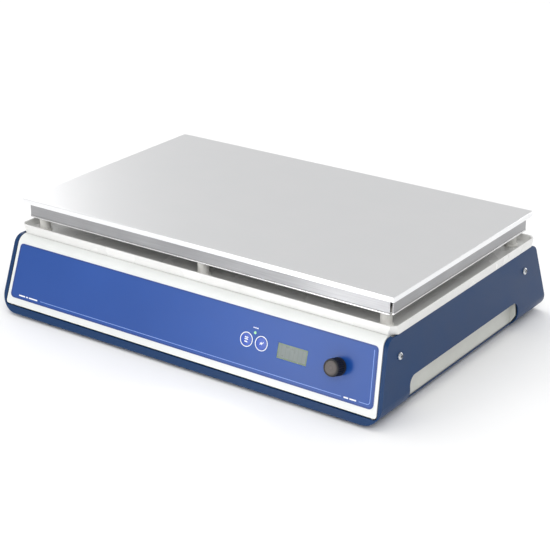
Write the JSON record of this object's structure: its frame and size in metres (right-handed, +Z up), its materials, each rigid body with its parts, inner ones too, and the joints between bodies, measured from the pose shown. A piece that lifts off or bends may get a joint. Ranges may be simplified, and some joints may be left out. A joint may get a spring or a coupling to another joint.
{
  "type": "laboratory hot plate",
  "caption": "Large rectangular laboratory hot plate: flat metal plate on short pillars over a spill tray, on a sloping-front case with display, keys and knob.",
  "frame": {"origin": "on the bench at the middle of the whole footprint", "axes": "+X to the user's right along the case's long side, +Y away from the user, +Z up"},
  "size_m": [0.517, 0.3716, 0.132],
  "materials": {
    "plate_aluminium": "ground and clear anodised, satin",
    "pan_steel": "folded steel sheet, light grey stoved finish",
    "tray_enamel": "light grey powder coat",
    "case_white": "fine-texture white powder coat",
    "case_blue": "dark blue powder coat",
    "wall_grey": "light grey powder coat",
    "overlay_blue": "printed polyester overlay, satin",
    "ring_white": "white print",
    "key_blue": "printed polyester key, satin",
    "window_clear": "clear window over a grey-green display",
    "lcd_glass": "grey-green liquid crystal display",
    "knob_black": "moulded black",
    "knob_grey": "moulded grey-brown insert",
    "black_plastic": "moulded black thermoplastic",
    "ceramic_white": "white steatite, unglazed",
    "rubber_black": "moulded rubber",
    "bright_steel": "zinc-plated steel",
    "element_steel": "heat-tinted stainless sheath",
    "brass": "turned brass",
    "heat_sink_black": "black anodised extrusion",
    "fibre_white": "ceramic-fibre blanket",
    "board_green": "glass-fibre circuit board with green mask",
    "wire_red": "silicone-insulated wire",
    "wire_brown": "insulated mains wire",
    "fuse_glass": "glass tube fuse with plated caps",
    "lamp_green": "pale green light guide",
    "relay_blue": "moulded relay cover",
    "core_steel": "varnished core laminations",
    "terminal_green": "moulded terminal strip",
    "cap_sleeve": "sleeved capacitors"
  },
  "bodies": {
    "case": {"top_plate": "plate_aluminium", "heater_pan": "pan_steel", "insulation_blanket": "fibre_white", "heating_element_right": "element_steel", "heating_element_left": "element_steel", "element_clamps": "bright_steel", "clamp_screws": "bright_steel", "plate_sensor": "bright_steel", "sensor_clip": "bright_steel", "overheat_cutout": "bright_steel", "spacer_sleeves": "bright_steel", "plate_studs": "bright_steel", "stud_nuts": "bright_steel", "spill_tray": "tray_enamel", "lead_bush": "ceramic_white", "chassis_wrap": "case_white", "base_shell": "case_blue", "end_wall_right": "wall_grey", "end_wall_left": "wall_grey", "side_screws_right": "bright_steel", "side_screws_left": "bright_steel", "base_screws": "bright_steel", "foot_screws": "bright_steel", "front_overlay": "overlay_blue", "key_rings": "ring_white", "key_switches": "black_plastic", "status_lamp": "lamp_green", "display_window": "window_clear", "display_module": "lcd_glass", "control_board": "board_green", "control_standoffs": "bright_steel", "encoder_body": "bright_steel", "encoder_nut": "bright_steel", "mains_inlet": "black_plastic", "inlet_pins": "brass", "switch_housing": "black_plastic", "earth_stud": "brass", "power_board": "board_green", "power_standoffs": "brass", "board_screws": "bright_steel", "heat_sink": "heat_sink_black", "power_switch_device": "black_plastic", "supply_transformer": "core_steel", "relay": "relay_blue", "capacitors": "cap_sleeve", "terminal_strip": "terminal_green", "heater_leads": "wire_red", "mains_leads": "wire_brown", "rubber_feet": "rubber_black", "support_pillars": "ceramic_white"},
    "knob": {"control_knob": "knob_black", "knob_insert": "knob_grey", "encoder_shaft": "bright_steel"},
    "left_key": {"key_left": "key_blue"},
    "right_key": {"key_right": "key_blue"},
    "rocker": {"switch_rocker": "black_plastic"},
    "drawer": {"fuse_drawer": "black_plastic", "mains_fuses": "fuse_glass"}
  },
  "joints": [
    {"name": "knob_turn", "type": "hinge", "parent": "case", "child": "knob", "pos_m": [0.2015, -0.17577, 0.05483], "axis": [0, -0.9604, 0.2785], "continuous": true},
    {"name": "left_key_press", "type": "slide", "parent": "case", "child": "left_key", "axis": [0, 0.9604, -0.2785], "range_m": [0, 0.0004], "stiffness_N_per_m": 3000},
    {"name": "right_key_press", "type": "slide", "parent": "case", "child": "right_key", "axis": [0, 0.9604, -0.2785], "range_m": [0, 0.0004], "stiffness_N_per_m": 3000},
    {"name": "power_rocker", "type": "hinge", "parent": "case", "child": "rocker", "pos_m": [0.11, 0.17234, 0.04572], "axis": [1, 0, 0], "range_deg": [0, 15]},
    {"name": "fuse_drawer_pull", "type": "slide", "parent": "case", "child": "drawer", "axis": [0, 0.9604, 0.2785], "range_m": [0, 0.022]}
  ]
}
